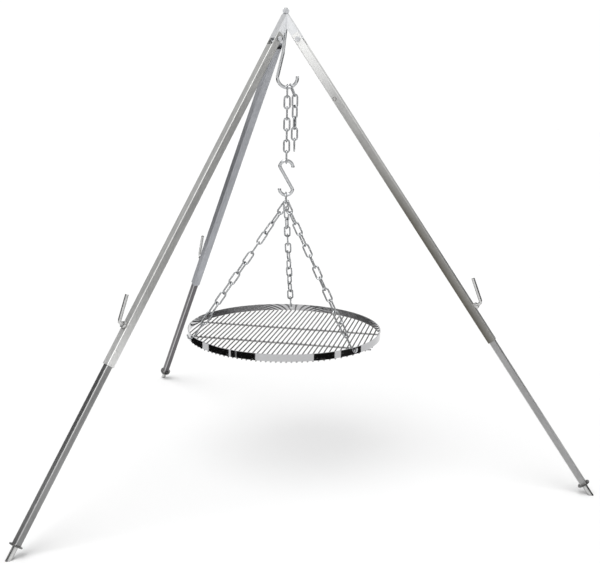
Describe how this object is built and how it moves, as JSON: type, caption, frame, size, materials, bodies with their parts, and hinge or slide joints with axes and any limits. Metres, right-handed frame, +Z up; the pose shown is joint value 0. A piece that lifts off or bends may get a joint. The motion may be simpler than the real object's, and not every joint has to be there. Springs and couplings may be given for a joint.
{
  "type": "campfire tripod grate",
  "caption": "Folding campfire tripod with telescopic square-tube legs, a swivelling pot hook, an adjusting chain and a round grill grate hung on sling chains.",
  "frame": {"origin": "on the ground, in the middle of the rectangle round the three feet", "axes": "+Z up, +X towards the right-hand leg's side and +Y roughly towards the rear leg"},
  "size_m": [1.6488, 1.3808, 1.368],
  "materials": {
    "galvanised_tube": "galvanised, satin",
    "inner_tube": "galvanised, dark satin",
    "head_sheet": "zinc plated",
    "zinc_fasteners": "zinc plated",
    "zinc_rod": "zinc plated, dull",
    "hook_steel": "zinc plated, smooth",
    "zinc_chain": "zinc plated",
    "polished_band": "polished stainless steel",
    "bar_steel": "bright drawn stainless steel"
  },
  "bodies": {
    "head": {"head_hub": "head_sheet", "head_arm_left": "head_sheet", "head_arm_right": "head_sheet", "head_arm_rear": "head_sheet", "pivot_bolts": "zinc_fasteners", "pivot_nuts": "zinc_fasteners"},
    "pot_hook": {"pot_hook": "hook_steel", "hook_nut": "zinc_fasteners"},
    "leg_left": {"upper_tube_left": "galvanised_tube", "clamp_nut_left": "galvanised_tube"},
    "foot_left": {"lower_tube_left": "inner_tube", "foot_plate_left": "zinc_rod", "spike_left": "zinc_rod"},
    "clamp_left": {"clamp_screw_left": "zinc_rod"},
    "leg_right": {"upper_tube_right": "galvanised_tube", "clamp_nut_right": "galvanised_tube"},
    "foot_right": {"lower_tube_right": "inner_tube", "foot_plate_right": "zinc_rod", "spike_right": "zinc_rod"},
    "clamp_right": {"clamp_screw_right": "zinc_rod"},
    "leg_rear": {"upper_tube_rear": "galvanised_tube", "clamp_nut_rear": "galvanised_tube"},
    "foot_rear": {"lower_tube_rear": "inner_tube", "foot_plate_rear": "zinc_rod", "spike_rear": "zinc_rod"},
    "clamp_rear": {"clamp_screw_rear": "zinc_rod"},
    "chain_link_1": {"chain_link_1": "zinc_chain"},
    "chain_link_2": {"chain_link_2": "zinc_chain"},
    "chain_link_3": {"chain_link_3": "zinc_chain"},
    "chain_link_4": {"chain_link_4": "zinc_chain"},
    "chain_link_5": {"chain_link_5": "zinc_chain"},
    "chain_link_6": {"chain_link_6": "zinc_chain"},
    "chain_link_7": {"chain_link_7": "zinc_chain"},
    "s_hook": {"s_hook": "hook_steel"},
    "sling_ring": {"sling_ring": "zinc_chain"},
    "grate_set": {"sling_chain_left": "zinc_chain", "sling_chain_right": "zinc_chain", "sling_chain_rear": "zinc_chain", "rim_hook_left": "zinc_chain", "rim_hook_right": "zinc_chain", "rim_hook_rear": "zinc_chain", "grate_rim": "polished_band", "grate_bars": "bar_steel", "grate_cross_bars": "bar_steel"},
    "spare_link_1": {"spare_link_1": "zinc_chain"},
    "spare_link_2": {"spare_link_2": "zinc_chain"},
    "spare_link_3": {"spare_link_3": "zinc_chain"},
    "spare_link_4": {"spare_link_4": "zinc_chain"},
    "spare_link_5": {"spare_link_5": "zinc_chain"},
    "spare_link_6": {"spare_link_6": "zinc_chain"}
  },
  "joints": [
    {"name": "hook_swivel", "type": "hinge", "parent": "head", "child": "pot_hook", "pos_m": [0, -0.22235, 1.353], "axis": [0, 0, 1], "continuous": true},
    {"name": "leg_fold_left", "type": "hinge", "parent": "head", "child": "leg_left", "pos_m": [-0.03354, -0.24125, 1.282], "axis": [-0.4909, 0.8712, 0], "range_deg": [-15, 0]},
    {"name": "leg_slide_left", "type": "slide", "parent": "leg_left", "child": "foot_left", "axis": [-0.4997, -0.2816, -0.8192], "range_m": [-0.48, 0.29]},
    {"name": "clamp_turn_left", "type": "hinge", "parent": "leg_left", "child": "clamp_left", "pos_m": [-0.49127, -0.49917, 0.53166], "axis": [-0.7137, -0.4021, 0.5736], "range_deg": [0, 360]},
    {"name": "leg_fold_right", "type": "hinge", "parent": "head", "child": "leg_right", "pos_m": [0.03354, -0.24125, 1.282], "axis": [-0.4909, -0.8712, 0], "range_deg": [-15, 0]},
    {"name": "leg_slide_right", "type": "slide", "parent": "leg_right", "child": "foot_right", "axis": [0.4997, -0.2816, -0.8192], "range_m": [-0.48, 0.29]},
    {"name": "clamp_turn_right", "type": "hinge", "parent": "leg_right", "child": "clamp_right", "pos_m": [0.49127, -0.49917, 0.53166], "axis": [0.7137, -0.4021, 0.5736], "range_deg": [0, 360]},
    {"name": "leg_fold_rear", "type": "hinge", "parent": "head", "child": "leg_rear", "pos_m": [-0.00996, -0.18516, 1.282], "axis": [0.9659, 0.2588, 0], "range_deg": [-15, 0]},
    {"name": "leg_slide_rear", "type": "slide", "parent": "leg_rear", "child": "foot_rear", "axis": [-0.1485, 0.554, -0.8192], "range_m": [-0.48, 0.29]},
    {"name": "clamp_turn_rear", "type": "hinge", "parent": "leg_rear", "child": "clamp_rear", "pos_m": [-0.14595, 0.32233, 0.53166], "axis": [-0.212, 0.7912, 0.5736], "range_deg": [0, 360]},
    {"name": "link_1_swing", "type": "hinge", "parent": "pot_hook", "child": "chain_link_1", "pos_m": [0.00626, -0.22409, 1.1457], "axis": [0.9636, -0.2672, 0], "range_deg": [-15, 15]},
    {"name": "link_2_swing", "type": "hinge", "parent": "chain_link_1", "child": "chain_link_2", "pos_m": [0.00626, -0.22409, 1.1167], "axis": [0.2672, 0.9636, 0], "range_deg": [0, 8]},
    {"name": "link_3_swing", "type": "hinge", "parent": "chain_link_2", "child": "chain_link_3", "pos_m": [0.00626, -0.22409, 1.0852], "axis": [-0.9636, 0.2672, 0], "range_deg": [-15, 15]},
    {"name": "link_4_swing", "type": "hinge", "parent": "chain_link_3", "child": "chain_link_4", "pos_m": [0.00626, -0.22409, 1.0537], "axis": [0.2672, 0.9636, 0], "range_deg": [0, 8]},
    {"name": "link_5_swing", "type": "hinge", "parent": "chain_link_4", "child": "chain_link_5", "pos_m": [0.00626, -0.22409, 1.0222], "axis": [0.9636, -0.2672, 0], "range_deg": [-12, 12]},
    {"name": "link_6_swing", "type": "hinge", "parent": "chain_link_5", "child": "chain_link_6", "pos_m": [0.00626, -0.22409, 0.9907], "axis": [0.2672, 0.9636, 0], "range_deg": [0, 8]},
    {"name": "link_7_swing", "type": "hinge", "parent": "chain_link_6", "child": "chain_link_7", "pos_m": [0.00626, -0.22409, 0.9592], "axis": [-0.9636, 0.2672, 0], "range_deg": [-20, 20]},
    {"name": "s_hook_swing", "type": "hinge", "parent": "chain_link_7", "child": "s_hook", "pos_m": [0.00626, -0.22409, 0.9277], "axis": [-0.2672, -0.9636, 0], "range_deg": [-5, 5]},
    {"name": "ring_swing", "type": "hinge", "parent": "s_hook", "child": "sling_ring", "pos_m": [0.00626, -0.22409, 0.8342], "axis": [0.9636, -0.2672, 0], "range_deg": [-8, 8]},
    {"name": "grate_swing", "type": "hinge", "parent": "sling_ring", "child": "grate_set", "pos_m": [0.00626, -0.22409, 0.809], "axis": [0.2672, 0.9636, 0], "range_deg": [-5, 5]},
    {"name": "spare_1_swing", "type": "hinge", "parent": "pot_hook", "child": "spare_link_1", "pos_m": [0.01703, -0.22707, 1.14797], "axis": [0.887, -0.246, 0.3907], "range_deg": [-6, 6]},
    {"name": "spare_2_swing", "type": "hinge", "parent": "spare_link_1", "child": "spare_link_2", "pos_m": [0.02795, -0.2301, 1.12128], "axis": [-0.047, -0.9945, 0.0936], "range_deg": [0, 8]},
    {"name": "spare_3_swing", "type": "hinge", "parent": "spare_link_2", "child": "spare_link_3", "pos_m": [0.02795, -0.2301, 1.08978], "axis": [-0.9763, -0.2164, 0], "range_deg": [0, 8]},
    {"name": "spare_4_swing", "type": "hinge", "parent": "spare_link_3", "child": "spare_link_4", "pos_m": [0.02795, -0.2301, 1.05828], "axis": [0.5664, -0.8241, 0], "range_deg": [0, 8]},
    {"name": "spare_5_swing", "type": "hinge", "parent": "spare_link_4", "child": "spare_link_5", "pos_m": [0.02795, -0.2301, 1.02678], "axis": [-0.5519, -0.8339, 0], "range_deg": [0, 8]},
    {"name": "spare_6_swing", "type": "hinge", "parent": "spare_link_5", "child": "spare_link_6", "pos_m": [0.02795, -0.2301, 0.99528], "axis": [0.9367, -0.3502, 0], "range_deg": [-8, 8]}
  ]
}
